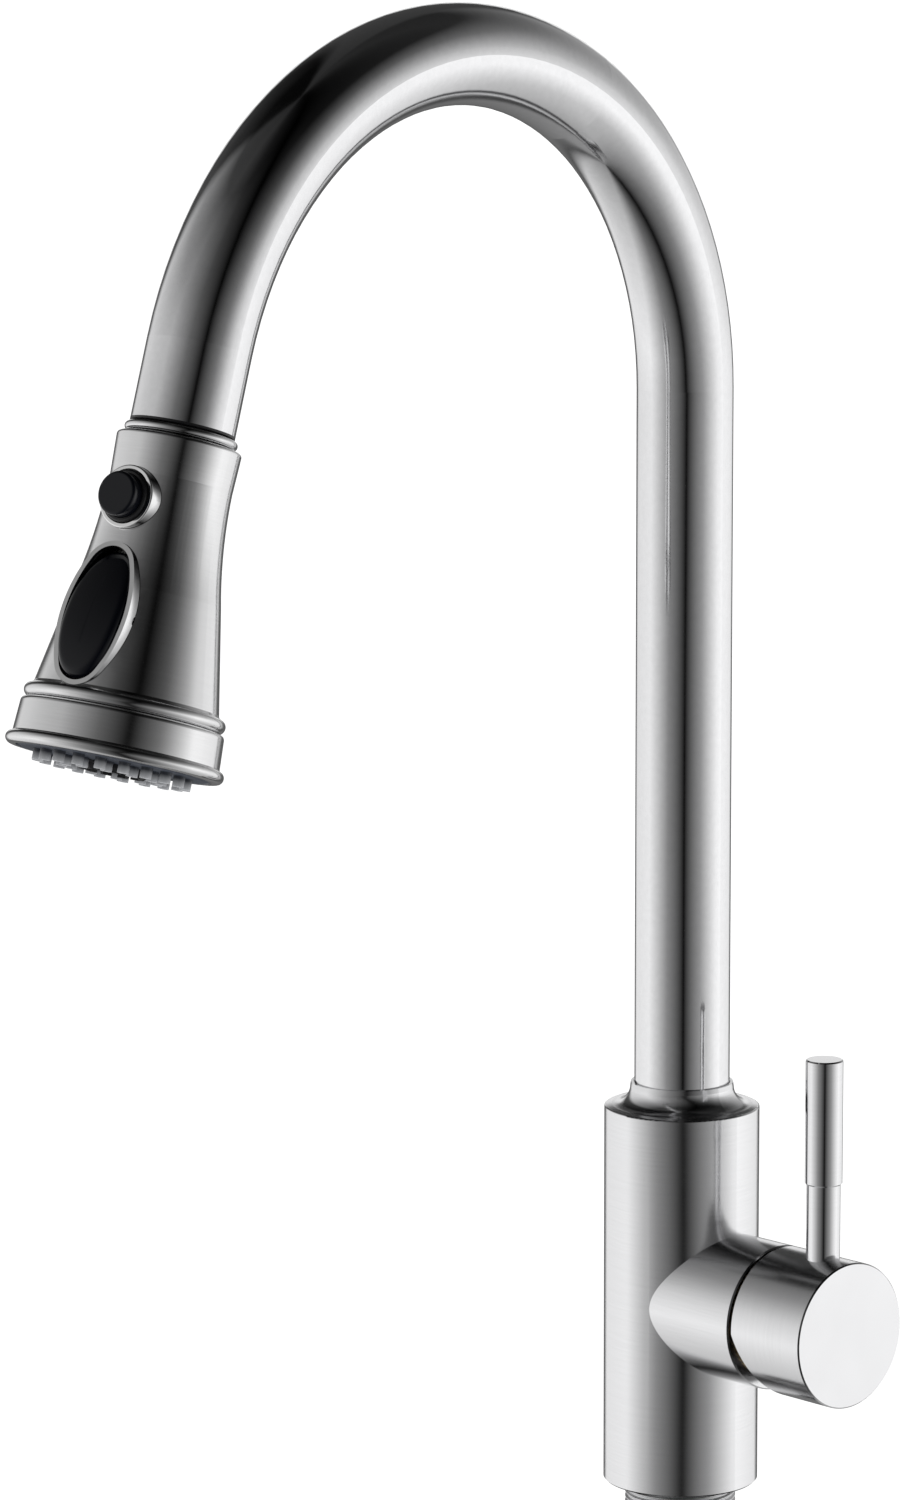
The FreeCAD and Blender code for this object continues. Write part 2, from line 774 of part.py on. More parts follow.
def make_hose():
    neck_hose = piped(
        "YZ_Plane", gooseneck("hose_high_bend"), (0, 0, "hose_high_bend"), ("hose_radius",), "neck_hose"
    )
    keep("hose_in_spout", SPOUT, neck_hose)
    middle = "-hose_offset / 2"
    path = [
        ("-hose_offset", "hose_bottom"),
        ("-hose_offset", "hose_low_bend"),
        (middle, "hose_mid", "hose_bend", "left"),
        (0, "hose_high_bend", "hose_bend", "right"),
    ]
    column_hose = piped(
        "XZ_Plane", path, ("-hose_offset", 0, "hose_bottom"), ("hose_radius",), "column_hose"
    )
    keep("hose_in_body", BASE, column_hose)
    tail = BASE * Placement(spot("-hose_offset", 0, "hose_bottom"), Rotation())
    ferrule = [(3, -10), ("ferrule_radius", -10), ("ferrule_radius", 7), ("hose_radius + 0.05", 7)]
    ferrule += [("hose_radius + 0.05", -0.05), (3, -0.05)]
    keep("hose_tail_ferrule", tail, turned(ferrule, "ferrule"))
    nipple = [(3, -24), (4.4, -24), (5, -23), (5, -18), (4.3, -17.5), (4.3, -16), (5, -15.5)]
    nipple += [(5, -13), (8.2, -13), (8.2, -10.05), (3, -10.05)]
    keep("hose_tail_nipple", tail, turned(nipple, "nipple"))
    keep("hose_pull_end", TIP, ring(0, "hose_radius", "-straight_end", -18))
    keep("hose_ferrule", TIP, ring(3, "ferrule_radius", -18, -4))
    coupling = [(3, -3), (7.4, -3), (7.4, -0.5), (6, -0.5), (6, 12), (3, 12)]
    keep("hose_coupling", HEAD, turned(coupling, "coupling"))


# ---------------------------------------------------------------- spray head


def shell_line(inset):
    """The head's flank, from its waist to its bell, pulled in by a distance."""
    return [
        (f"waist_radius - {inset}", "waist"),
        (f"skirt_radius - {inset}", "skirt", f"skirt_bend + {inset}", "left"),
        (f"bell_radius - {inset}", "bell"),
    ]


def make_head_shell():
    cone = [(8.7, -12), (10.2, -12), (10.8, 0), (10.8, 6.3), (13.4, 6.3), (13.4, 8), (8.7, 8)]
    keep("dock_cone", HEAD, turned(cone, "cone"))
    neck_ring = [
        (10.85, "neck_ring_low"),
        (14.05, "neck_ring_low"),
        (14.05, "neck_ring_low + 2.45", 1.25, "right"),
        (10.85, "neck_ring_low + 2.45"),
    ]
    keep("neck_ring", HEAD, turned(neck_ring, "neck_ring"))
    outer = [
        (10.9, "head_top"),
        ("head_top_radius - 1", "head_top"),
        ("head_top_radius", "head_top + 1", 1, "right"),
        *shell_line(0),
        ("bell_radius + 0.4", "bell + 0.7"),
        ("bell_radius + 0.9", "shell_end", "bead_round", "right"),
    ]
    inner = [("bell_radius - shell_wall", "shell_end"), ("bell_radius - shell_wall", "bell")]
    inner.append(("skirt_radius - shell_wall", "skirt"))
    inner.append(("waist_radius - shell_wall", "waist", "skirt_bend + shell_wall", "right"))
    inner += [("waist_radius - shell_wall", "head_top + 2"), (10.9, "head_top + 2")]
    button_hole = rod("button_bezel + 0.1", 10, (0, 0, 0), Y)
    button_hole.Placement = HEAD.inverse() * BUTTON * Placement(Vector(0, 0, 12), Rotation())
    slot = oval("oval_long + oval_wall + 0.1", "oval_wide + oval_wall + 0.1", -9, 4)
    slot.Placement = HEAD.inverse() * ROCKER
    keep("head_shell", HEAD, cut(turned(outer + inner, "shell"), button_hole, slot))


def make_face():
    lip = [
        (23.6, "ring_low"),
        (26, "ring_low"),
        (27, "ring_low + 1.2", 1.4, "right"),
        (27.45, 86.2),
        (27.6, "ring_end - 1.95 * lip_round"),
        (27.6, "ring_end", "lip_round", "right"),
        ("face_radius + 0.1", "ring_end"),
        ("face_radius + 0.1", 84),
        (23.6, 84),
    ]
    keep("face_ring", HEAD, turned(lip, "lip"))
    spots = around("outer_nozzles", "outer_circle", 9) + around("inner_nozzles", "inner_circle")
    plate = [
        ("aerator_radius + 0.15", 86),
        ("face_radius", 86),
        ("face_radius", 89.3),
        (24.4, 90),
        ("aerator_radius + 0.15", 90.3),
    ]
    holes = [rod("nozzle_radius + 0.1", 8, (x, y, 84)) for x, y in spots]
    keep("spray_face", HEAD, cut(turned(plate, "plate"), *holes))
    pad = ring("aerator_radius + 0.15", 23.3, 84.1, 85.9)
    nubs = [rod("nozzle_radius", "nozzle_end - 85", (x, y, 85)) for x, y in spots]
    jets = [rod("nozzle_radius / 3", 12, (x, y, 83)) for x, y in spots]
    keep("nozzle_pad", HEAD, cut(joined(pad, *nubs), *jets))
    insert = turned(
        [
            ("aerator_radius - 4", 78),
            ("aerator_radius", 78),
            ("aerator_radius", 91.4),
            ("aerator_radius - 0.8", 92.6),
            ("aerator_radius - 2", 92.6),
            ("aerator_radius - 2", 84),
            ("aerator_radius - 4", 84),
        ],
        "insert",
    )
    notches = []
    for turn in range(0, 180, 30):
        notch = block((24, 1.6, 3), (-12, -0.8, 90.9))
        notch.Placement = Placement(Vector(), Rotation(Z, turn)) * notch.Placement
        notches.append(notch)
    keep("aerator_insert", HEAD, cut(insert, *notches))
    screen = rod("aerator_radius - 2.1", 2.4, (0, 0, 0))
    mesh = [rod(0.65, 4, (x, y, -1)) for x, y in around(12, 5.6) + around(6, 3) + [(0, 0)]]
    keep("aerator_screen", HEAD * Placement(Vector(0, 0, 87.5), Rotation()), cut(screen, *mesh))


def make_core():
    body = turned(
        [
            (6.05, 8.1),
            ("core_radius", 8.1),
            ("core_radius", 60),
            (16.8, 71),
            (20.2, 76.6),
            (23.4, 77.2),
            (23.4, 83.9),
            (20.4, 83.9),
            (20.4, 77.8),
            ("core_bore", 73),
            ("core_bore", 12.7),
            (6.05, 12.7),
        ],
        "core",
    )
    front = HEAD.inverse() * BUTTON
    valve_bore = rod(4.1, 14, (0, 0, 0))
    valve_bore.Placement = front
    pocket = rod(5.2, 10, (0, 0, 0))
    pocket.Placement = front * Placement(Vector(0, 0, 8), Rotation())
    barrel_end = "barrel_half + 0.05"
    at = (f"-({barrel_end})", "barrel_front", "barrel_along")
    barrel_bore = rod("barrel_radius + 0.05", f"2 * ({barrel_end})", at, X)
    window = block((4.4, 7, 8), (-2.2, "barrel_front - 1", "barrel_along - 4.6"))
    keep("waterway_core", HEAD, cut(body, valve_bore, pocket, barrel_bore, window))
    keep("filter_washer", HEAD, ring(3.2, 5.9, 12.05, 12.6))
    keep("check_valve", HEAD, ring(2.4, "core_bore - 0.05", 28, 40))


def make_pause_button():
    low = 13.5
    bezel = [
        (6.95, low),
        ("button_bezel", low),
        ("button_bezel", "button_rim - 0.4"),
        ("button_bezel - 0.4", "button_rim", 0.4, "right"),
        (7.3, "button_rim"),
        (6.95, "button_rim - 0.35"),
    ]
    keep("button_bezel", BUTTON, turned(bezel, "bezel"))
    collar = [
        ("button_radius + 0.15", low),
        (6.9, low),
        (6.9, "button_rim + 0.4"),
        (6.5, "button_rim + 0.9", 0.6, "right"),
        ("button_radius + 0.15", "button_rim + 0.9"),
    ]
    keep("button_collar", BUTTON, turned(collar, "collar"))
    cap = [
        (0, "button_low"),
        ("button_radius", "button_low"),
        ("button_radius", "button_high - 0.8"),
        ("button_radius - 0.8", "button_high", 0.8, "right"),
        (0, "button_high"),
    ]
    keep("pause_button", BUTTON, turned(cap, "button"))
    plunger = [
        (0, 1.5),
        (1.6, 1.5),
        (1.6, 3.5),
        (3.9, 3.5),
        (3.9, 6),
        (1.6, 6),
        (1.6, "button_low"),
        (0, "button_low"),
    ]
    keep("pause_plunger", BUTTON, turned(plunger, "plunger"))
    coil = bind(fresh("Part::Helix", "coil"), Pitch=1.35, Height=6.5, Radius=4.1)
    wire = bind(fresh("Part::Circle", "wire"), Radius=0.4)
    wire.Placement = Placement(Vector(4.1, 0, 0), Rotation(X, 90))
    spring = fresh("Part::Sweep", "spring")
    spring.Sections = [wire]
    spring.Spine = (coil, [])
    spring.Solid = True
    spring.Frenet = True
    keep("pause_spring", BUTTON * Placement(Vector(0, 0, 8.7), Rotation()), spring)


def make_rocker():
    wall = "oval_wall"
    outer = oval(f"oval_long + {wall}", f"oval_wide + {wall}", -5, 0)
    hollow = oval("oval_long", "oval_wide", -6, 1)
    pin_hole = rod("pin_radius + 0.05", 30, (-15, 0, "-rocker_pivot"), X)
    keep("rocker_bezel", ROCKER, cut(outer, hollow, pin_hole))
    reach = "oval_wide + oval_wall - 0.2"
    pin = rod("pin_radius", f"2 * ({reach})", (0, 0, 0), X)
    keep("rocker_pin", PIVOT * Placement(spot(f"-({reach})", 0, 0), Rotation(Z, X)), pin)
    long_half, wide_half = "oval_long - oval_play", "oval_wide - oval_play"
    prism = oval(long_half, wide_half, 1, "rocker_pivot + 3")
    crown = bind(fresh("Part::Sphere", "crown"), Radius="rocker_crown")
    crown.Placement = Placement(spot(0, 0, "rocker_pivot + rocker_rise - rocker_crown"), Rotation())
    hub = rod(2.4, 12, (-6, 0, 0), X)
    tongue = block((3.2, 2.4, 7), (-1.6, -1.2, -6.9))
    eye = rod("pin_radius + 0.06", 30, (-15, 0, 0), X)
    pad = cut(joined(shared(prism, crown), hub, tongue), eye)
    keep("mode_rocker", TIPPED, pad)
    barrel = [
        (0, "-barrel_half"),
        ("barrel_radius", "-barrel_half"),
        ("barrel_radius", -2),
        ("barrel_neck", -2),
        ("barrel_neck", 2),
        ("barrel_radius", 2),
        ("barrel_radius", "barrel_half"),
        (0, "barrel_half"),
    ]
    at = HEAD * Placement(spot(0, "barrel_front", "barrel_along"), Rotation(Z, X))
    keep("diverter_barrel", at, turned(barrel, "barrel"))


# ---------------------------------------------------------------- build, test and write

for make in (
    make_column,
    make_deck_hardware,
    make_waterway,
    make_cartridge,
    make_handle,
    make_swivel,
    make_spout,
    make_hose,
    make_head_shell,
    make_face,
    make_core,
    make_pause_button,
    make_rocker,
):
    make()
doc.recompute()

for thing in doc.Objects:
    if "Invalid" in thing.State or "Error" in thing.State:
        raise RuntimeError(f"{thing.Label} did not compute: {thing.State}")
os.makedirs("parts", exist_ok=True)
for label, thing in parts.items():
    shape = thing.Shape
    if shape.isNull() or not shape.isValid() or not shape.Solids:
        raise RuntimeError(f"{label} has no valid solid")
    print(f"{label}: {len(shape.Solids)} solid(s), {shape.Volume:.1f} mm3")
for label, thing in parts.items():
    thing.Shape.exportStep(f"parts/{label}.step")
print(f"{len(parts)} sub-parts written")
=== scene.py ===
"""Looks of the pull-down kitchen faucet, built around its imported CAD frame."""

import json
import math

import bmesh
import bpy
from mathutils import Matrix, Vector


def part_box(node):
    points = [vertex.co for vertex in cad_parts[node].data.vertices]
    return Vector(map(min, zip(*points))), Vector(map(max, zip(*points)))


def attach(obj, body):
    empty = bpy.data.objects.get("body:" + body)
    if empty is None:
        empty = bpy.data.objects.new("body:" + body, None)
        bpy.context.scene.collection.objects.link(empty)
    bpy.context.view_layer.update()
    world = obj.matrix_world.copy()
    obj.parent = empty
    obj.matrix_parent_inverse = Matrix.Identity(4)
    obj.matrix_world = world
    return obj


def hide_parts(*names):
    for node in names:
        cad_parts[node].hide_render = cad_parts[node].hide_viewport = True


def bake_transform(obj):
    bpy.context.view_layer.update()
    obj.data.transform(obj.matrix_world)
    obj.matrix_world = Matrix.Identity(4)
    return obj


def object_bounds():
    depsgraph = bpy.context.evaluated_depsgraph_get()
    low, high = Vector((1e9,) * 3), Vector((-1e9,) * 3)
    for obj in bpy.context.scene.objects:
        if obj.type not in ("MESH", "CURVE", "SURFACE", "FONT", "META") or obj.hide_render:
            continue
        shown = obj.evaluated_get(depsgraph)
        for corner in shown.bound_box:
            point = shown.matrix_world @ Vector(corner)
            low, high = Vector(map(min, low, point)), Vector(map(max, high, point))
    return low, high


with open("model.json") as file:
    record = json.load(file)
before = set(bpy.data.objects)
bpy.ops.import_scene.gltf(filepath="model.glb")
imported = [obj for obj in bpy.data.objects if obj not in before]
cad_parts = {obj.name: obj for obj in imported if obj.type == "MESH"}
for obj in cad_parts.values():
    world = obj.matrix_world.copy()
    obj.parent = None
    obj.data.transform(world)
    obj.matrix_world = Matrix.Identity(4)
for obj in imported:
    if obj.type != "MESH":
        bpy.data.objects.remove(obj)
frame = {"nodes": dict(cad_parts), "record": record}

cad_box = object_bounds()
nodes = frame["nodes"]
record = frame["record"]
joints = {joint["name"]: joint for joint in record["behaviour"]["joints"]}

# ---------------------------------------------------------------- places, from the frame

MM = 0.001
WHOLE_TURN = 2 * math.pi

spray_axis = Vector(joints["head_turn"]["axis"]).normalized()
tube_end = Vector(joints["head_turn"]["pos_m"])
rocker_axis = Vector(joints["mode_rock"]["axis"]).normalized()
rocker_pivot = Vector(joints["mode_rock"]["pos_m"])
button_axis = -Vector(joints["pause_press"]["axis"]).normalized()
pull_length = joints["spray_pull"]["range_m"][1]
handle_height = joints["handle_mix"]["pos_m"][2]


def axes_from(along, side):
    """A rotation whose z is along a direction and whose x is near another one."""
    x = (side - along * side.dot(along)).normalized()
    return Matrix((x, along.cross(x), along)).transposed()


head_turn = axes_from(spray_axis, rocker_axis)
handle_turn = axes_from(Vector((1, 0, 0)), Vector((0, 0, 1)))
upright = Matrix.Identity(3)

# ---------------------------------------------------------------- node materials


def new_material(name):
    material = bpy.data.materials.new(name)
    material.use_nodes = True
    tree = material.node_tree
    return material, tree, tree.nodes["Principled BSDF"]


def add(tree, kind, links=(), **values):
    """A node with its settings, input values and incoming links."""
    node = tree.nodes.new(kind)
    for key, value in values.items():
        if hasattr(node, key):
            setattr(node, key, value)
        else:
            node.inputs[key.replace("_", " ")].default_value = value
    for socket, source in dict(links).items():
        tree.links.new(source, node.inputs[socket])
    return node


def object_place(tree, turn, scale):
    """Object coordinates in a turned frame, stretched along its axes."""
    where = add(tree, "ShaderNodeTexCoord").outputs["Object"]
    angles = turn.transposed().to_euler()
    turned = add(tree, "ShaderNodeMapping", {"Vector": where})
    turned.inputs["Rotation"].default_value = angles
    stretched = add(tree, "ShaderNodeMapping", {"Vector": turned.outputs["Vector"]})
    stretched.inputs["Scale"].default_value = scale
    return stretched.outputs["Vector"]


def noise(tree, place, scale, detail=4.0, roughness=0.55):
    return add(
        tree, "ShaderNodeTexNoise", {"Vector": place}, Scale=scale, Detail=detail, Roughness=roughness
    ).outputs["Fac"]


def spread(tree, value, low, high):
    """A value from 0.3 to 0.7 mapped to a range."""
    node = add(tree, "ShaderNodeMapRange", {"Value": value}, From_Min=0.3, From_Max=0.7)
    node.inputs["To Min"].default_value = low
    node.inputs["To Max"].default_value = high
    return node.outputs["Result"]


def tint(tree, value, dark, light):
    ramp = add(tree, "ShaderNodeValToRGB", {"Fac": value})
    ramp.color_ramp.elements[0].position = 0.3
    ramp.color_ramp.elements[0].color = (*dark, 1)
    ramp.color_ramp.elements[1].position = 0.7
    ramp.color_ramp.elements[1].color = (*light, 1)
    return ramp.outputs["Color"]


def raise_bumps(tree, shader, height, strength, distance):
    bump = add(tree, "ShaderNodeBump", {"Height": height}, Strength=strength, Distance=distance)
    tree.links.new(bump.outputs["Normal"], shader.inputs["Normal"])


def brushed_metal(name, colour, rough, turn, grain=(60, 60, 2600), bump=0.06):
    """Metal brushed around an axis, or along it with another grain."""
    material, tree, shader = new_material(name)
    lines = noise(tree, object_place(tree, turn, grain), 1.0, 3.0, 0.6)
    cloud = noise(tree, object_place(tree, turn, (1, 1, 1)), 35.0, 2.0)
    dark = [c * 0.95 for c in colour]
    tree.links.new(tint(tree, lines, dark, colour), shader.inputs["Base Color"])
    both = add(tree, "ShaderNodeMath", {0: lines, 1: cloud}, operation="ADD")
    half = add(tree, "ShaderNodeMath", {0: both.outputs[0]}, operation="MULTIPLY")
    half.inputs[1].default_value = 0.5
    tree.links.new(spread(tree, half.outputs[0], rough * 0.8, rough * 1.2), shader.inputs["Roughness"])
    shader.inputs["Metallic"].default_value = 1.0
    raise_bumps(tree, shader, lines, bump, 0.00002)
    return material


def plastic(name, colour, rough, grain_scale=900.0, bump=0.05, gloss=0.5):
    material, tree, shader = new_material(name)
    speck = noise(tree, object_place(tree, upright, (1, 1, 1)), grain_scale, 3.0)
    cloud = noise(tree, object_place(tree, upright, (1, 1, 1)), 60.0, 2.0)
    dark = [c * 0.85 for c in colour]
    tree.links.new(tint(tree, cloud, dark, colour), shader.inputs["Base Color"])
    tree.links.new(spread(tree, speck, rough * 0.85, rough * 1.15), shader.inputs["Roughness"])
    shader.inputs["Specular IOR Level"].default_value = gloss
    raise_bumps(tree, shader, speck, bump, 0.00002)
    return material


def nozzle_rubber_with_painted_light(name, low, high):
    """Soft silicone, dark where it meets the face and pale at the nozzles' tips: painted shade at the face
    and painted light in the tips.
    """
    material, tree, shader = new_material(name)
    where = add(tree, "ShaderNodeTexCoord").outputs["Object"]
    depth = add(tree, "ShaderNodeVectorMath", {0: where}, operation="DOT_PRODUCT")
    depth.inputs[1].default_value = spray_axis
    share = add(tree, "ShaderNodeMapRange", {"Value": depth.outputs["Value"]}, From_Min=low, From_Max=high)
    ramp = add(tree, "ShaderNodeValToRGB", {"Fac": share.outputs["Result"]})
    # painted shade: near-black where the nozzles meet the face
    ramp.color_ramp.elements[0].color = (0.03, 0.033, 0.04, 1)
    # painted light: pale grey at the nozzles' tips
    ramp.color_ramp.elements[1].color = (0.55, 0.56, 0.58, 1)
    tree.links.new(ramp.outputs["Color"], shader.inputs["Base Color"])
    speck = noise(tree, object_place(tree, upright, (1, 1, 1)), 900.0, 3.0)
    tree.links.new(spread(tree, speck, 0.28, 0.40), shader.inputs["Roughness"])
    raise_bumps(tree, shader, speck, 0.05, 0.00002)
    return material


def woven_hose(name):
    """Braided nylon: two crossing sets of strands in the hose's own UV."""
    material, tree, shader = new_material(name)
    strands = add(tree, "ShaderNodeUVMap", uv_map="braid").outputs["UV"]
    split = add(tree, "ShaderNodeSeparateXYZ", {"Vector": strands})
    crossing = []
    for sign in (1, -1):
        slant = add(tree, "ShaderNodeMath", {0: split.outputs["Y"]}, operation="MULTIPLY")
        slant.inputs[1].default_value = sign
        total = add(
            tree, "ShaderNodeMath", {0: split.outputs["X"], 1: slant.outputs[0]}, operation="ADD"
        )
        turn = add(tree, "ShaderNodeMath", {0: total.outputs[0]}, operation="MULTIPLY")
        turn.inputs[1].default_value = WHOLE_TURN
        crossing.append(add(tree, "ShaderNodeMath", {0: turn.outputs[0]}, operation="SINE").outputs[0])
    over = add(tree, "ShaderNodeMath", {0: crossing[0], 1: crossing[1]}, operation="MULTIPLY")
    level = add(tree, "ShaderNodeMapRange", {"Value": over.outputs[0]}, From_Min=-1.0, From_Max=1.0)
    colour = add(tree, "ShaderNodeValToRGB", {"Fac": level.outputs["Result"]})
    colour.color_ramp.elements[0].color = (0.10, 0.10, 0.11, 1)
    colour.color_ramp.elements[1].color = (0.50, 0.50, 0.52, 1)
    tree.links.new(colour.outputs["Color"], shader.inputs["Base Color"])
    shader.inputs["Roughness"].default_value = 0.55
    shader.inputs["Sheen Weight"].default_value = 0.3
    raise_bumps(tree, shader, level.outputs["Result"], 0.7, 0.0004)
    return material


nozzles = nodes["nozzle_pad"]
nozzle_tips = max((nozzles.matrix_world @ vertex.co).dot(spray_axis) for vertex in nozzles.data.vertices)
STEEL = (0.87, 0.87, 0.88)
materials = {
    "column_steel": brushed_metal("column_steel", STEEL, 0.17, upright, bump=0.10),
    "spout_steel": brushed_metal("spout_steel", (0.88, 0.88, 0.89), 0.10, upright, (500, 500, 500), 0.02),
    "handle_steel": brushed_metal("handle_steel", STEEL, 0.18, handle_turn, bump=0.10),
    "lever_steel": brushed_metal("lever_steel", STEEL, 0.09, upright, bump=0.04),
    "head_steel": brushed_metal("head_steel", (0.85, 0.85, 0.855), 0.15, head_turn, bump=0.08),
    "bright_trim": brushed_metal("bright_trim", (0.90, 0.90, 0.90), 0.07, head_turn, (300, 300, 300), 0.01),
    "hardware_steel": brushed_metal(
        "hardware_steel", (0.80, 0.80, 0.81), 0.35, upright, (200, 200, 200), 0.1
    ),
    "brass": brushed_metal("brass", (0.74, 0.56, 0.30), 0.24, upright, bump=0.12),
    "black_gloss": plastic("black_gloss", (0.003, 0.0035, 0.006), 0.13, bump=0.01, gloss=0.32),
    "black_plastic": plastic("black_plastic", (0.010, 0.010, 0.011), 0.35),
    "face_plastic": plastic("face_plastic", (0.030, 0.036, 0.050), 0.40),
    "white_plastic": plastic("white_plastic", (0.76, 0.76, 0.74), 0.38),
    "rubber": plastic("rubber", (0.020, 0.020, 0.020), 0.70, 1500.0, 0.2),
    # nozzle colour holds painted shade at the face and painted light at the tips
    "nozzle_silicone": nozzle_rubber_with_painted_light("nozzle_silicone", nozzle_tips - 2.2 * MM, nozzle_tips),
    "ceramic": plastic("ceramic", (0.84, 0.83, 0.80), 0.18),
    "hose_braid": woven_hose("hose_braid"),
    "spring_steel": brushed_metal("spring_steel", (0.62, 0.62, 0.62), 0.2, upright, (300, 300, 300), 0.05),
}

slot_of = {part["node"]: part["material_slot"] for part in record["subparts"]}
for node_name, node in nodes.items():
    node.data.materials.clear()
    node.data.materials.append(materials[slot_of[node_name]])

# ---------------------------------------------------------------- softened edges


def soften(node_name, width, sharpest=40):
    """Round the sharp edges of a carried-over piece."""
    bevel = nodes[node_name].modifiers.new("soft_edges", "BEVEL")
    bevel.width = width
    bevel.segments = 3
    bevel.limit_method = "ANGLE"
    bevel.angle_limit = math.radians(sharpest)
    bevel.harden_normals = False


soften("rocker_bezel", 0.15 * MM)

# ---------------------------------------------------------------- mesh helpers


def finish_piece(name, mesh, body, slot, hidden=(), smooth=True):
    """A piece from a bmesh, riding on a body and standing for the hidden nodes."""
    bmesh.ops.recalc_face_normals(mesh, faces=mesh.faces)
    data = bpy.data.meshes.new(name)
    mesh.to_mesh(data)
    mesh.free()
    for face in data.polygons:
        face.use_smooth = smooth
    data.materials.append(materials[slot])
    piece = bpy.data.objects.new(name, data)
    bpy.context.scene.collection.objects.link(piece)
    if body:
        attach(piece, body)
    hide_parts(*hidden)
    return piece


def loft(rings, closed_loop=False):
    """A bmesh skin over rings of points; every ring has the same number of points."""
    mesh = bmesh.new()
    made = [[mesh.verts.new(point) for point in ring] for ring in rings]
    pairs = list(zip(made, made[1:]))
    if closed_loop:
        pairs.append((made[-1], made[0]))
    for lower, upper in pairs:
        count = len(lower)
        for i in range(count):
            mesh.faces.new((lower[i], lower[(i + 1) % count], upper[(i + 1) % count], upper[i]))
    return mesh, made


def cap(mesh, ring):
    mesh.faces.new(ring)


# ---------------------------------------------------------------- threaded shank and nut ribs

low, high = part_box("threaded_shank")
shank_outer = (high.x - low.x) / 2
SHANK_BORE = 14.3 * MM
THREAD_PITCH = 1.5 * MM
THREAD_DEPTH = 0.85 * MM
THREAD_SIDES = 72
THREAD_STEPS = 8
plain_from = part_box("base_plate")[0].z


def shank_radius(z, turn):
    """Radius of a single right-hand thread, fading out below the base plate and at the tip."""
    phase = (z / THREAD_PITCH - turn) % 1
    groove = THREAD_DEPTH * abs(2 * phase - 1) ** 0.8
    fade = min(1, max(0, (plain_from - z) / THREAD_PITCH))
    tip = min(1, max(0, (z - low.z) / (0.8 * MM)))
    return shank_outer - groove * fade - (1 - tip) * 0.4 * MM


def ring_at(z, radius_of):
    return [
        Vector((
            radius_of(i) * math.cos(WHOLE_TURN * i / THREAD_SIDES),
            radius_of(i) * math.sin(WHOLE_TURN * i / THREAD_SIDES),
            z,
        ))
        for i in range(THREAD_SIDES)
    ]


steps = int((plain_from - low.z) / THREAD_PITCH * THREAD_STEPS)
heights = [low.z + (plain_from - low.z) * i / steps for i in range(steps + 1)] + [high.z]
outside = [ring_at(z, lambda i, z=z: shank_radius(z, i / THREAD_SIDES)) for z in heights]
inside = [ring_at(z, lambda i: SHANK_BORE) for z in (high.z, low.z)]
shank, _ = loft(outside + inside, closed_loop=True)
finish_piece("shank_with_thread", shank, "column", "hardware_steel", ["threaded_shank"])

low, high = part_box("retaining_nut")
RIBS = 48
RIB_DEPTH = 0.7 * MM
nut_outer = (high.z - low.z) / 2
NUT_BORE = 12 * MM
NUT_MOUTH = 15 * MM
NUT_SEAT = 38 * MM
nut_shoulder = 40.3 * MM
NUT_RIB_RADIUS = 17 * MM


def nut_ring(x, radius, ribbed=False):
    """A ring around the handle's axis, with ribs if asked."""
    points = []
    sides = RIBS * 6
    for i in range(sides):
        phase = (i / 6) % 1
        depth = RIB_DEPTH * (1 if phase > 0.55 else 0) if ribbed else 0
        turn = WHOLE_TURN * i / sides
        r = radius - depth
        points.append(Vector((x, r * math.cos(turn), handle_height + r * math.sin(turn))))
    return points


nut_rings = [
    nut_ring(low.x, nut_outer),
    nut_ring(nut_shoulder, nut_outer),
    nut_ring(nut_shoulder, NUT_RIB_RADIUS, True),
    nut_ring(high.x - 0.4 * MM, NUT_RIB_RADIUS, True),
    nut_ring(high.x, NUT_RIB_RADIUS - 0.8 * MM),
    nut_ring(high.x, NUT_MOUTH),
    nut_ring(NUT_SEAT, NUT_MOUTH),
    nut_ring(NUT_SEAT, NUT_BORE),
    nut_ring(low.x, NUT_BORE),
]
nut, _ = loft(nut_rings, closed_loop=True)
finish_piece("nut_with_ribs", nut, "column", "brass", ["retaining_nut"], smooth=False)

# ---------------------------------------------------------------- rocker pad

PAD_LONG = 18.1 * MM
PAD_WIDE = 9.0 * MM
PAD_TOP = 5.5 * MM
PAD_LOW = 1.0 * MM
PAD_ROUND = 2.0 * MM
PAD_CROWN = 62 * MM
PAD_LEAN = 9.7
PAD_TIP = 6.0
PAD_ROUND_STEPS = 8
PAD_CROWN_STEPS = 8
PAD_LAST_STEP = 8.05
PAD_SIDES = 96
PAD_POWER = 2.25
pad_out = Matrix.Rotation(-math.radians(PAD_LEAN + PAD_TIP), 3, rocker_axis) @ button_axis
pad_up = pad_out.cross(rocker_axis)


def pad_ring(inset, drop, flat=None):
    """An oval ring of the pad, following its crown unless it is flat."""
    points = []
    for i in range(PAD_SIDES):
        turn = WHOLE_TURN * i / PAD_SIDES
        c, s = math.cos(turn), math.sin(turn)
        x = (PAD_WIDE - inset) * math.copysign(abs(c) ** (2 / PAD_POWER), c)
        y = (PAD_LONG - inset) * math.copysign(abs(s) ** (2 / PAD_POWER), s)
        z = PAD_TOP - (x * x + y * y) / (2 * PAD_CROWN) - drop if flat is None else flat
        points.append(rocker_pivot + rocker_axis * x + pad_up * y + pad_out * z)
    return points


pad_rings = [pad_ring(0, 0, PAD_LOW)]
for step in range(PAD_ROUND_STEPS + 1):
    bend = math.pi / 2 * step / PAD_ROUND_STEPS
    pad_rings.append(pad_ring(PAD_ROUND * (1 - math.cos(bend)), PAD_ROUND * (1 - math.sin(bend))))
for step in range(1, PAD_CROWN_STEPS + 1):
    pad_rings.append(pad_ring(PAD_ROUND + (PAD_WIDE - PAD_ROUND) * step / PAD_LAST_STEP, 0))
pad, pad_made = loft(pad_rings)
cap(pad, list(reversed(pad_made[0])))
cap(pad, pad_made[-1])
finish_piece("rocker_pad", pad, "rocker_key", "black_gloss", ["mode_rocker"])

# ---------------------------------------------------------------- braided hoses

